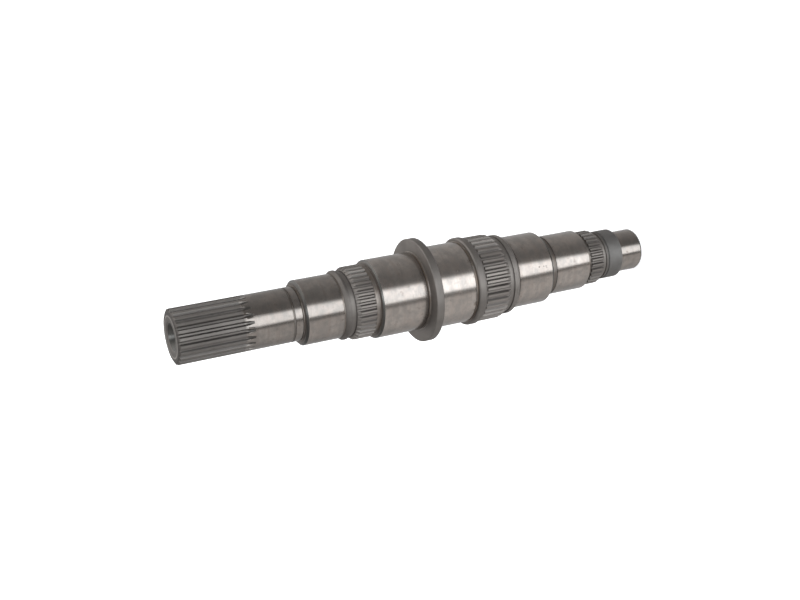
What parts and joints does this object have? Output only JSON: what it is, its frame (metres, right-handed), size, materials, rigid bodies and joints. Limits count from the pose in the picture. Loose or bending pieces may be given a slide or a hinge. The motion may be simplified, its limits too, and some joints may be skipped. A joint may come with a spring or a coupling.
{
  "type": "gearbox output shaft",
  "caption": "Solid stepped gearbox output shaft with ground journals, a thrust collar, splined hub seats, ring grooves and a splined nose.",
  "frame": {"origin": "centre of the pilot end face, on which the shaft stands", "axes": "+Z along the shaft's axis, from the pilot end up to the splined nose; -Y is the side that faces the viewer"},
  "size_m": [0.0624, 0.0624, 0.307],
  "materials": {
    "ground_steel": "fine ground journals, dull matt splines and collar, light brown staining at the shoulders"
  },
  "bodies": {
    "root": {"output_shaft": "ground_steel"}
  },
  "joints": []
}
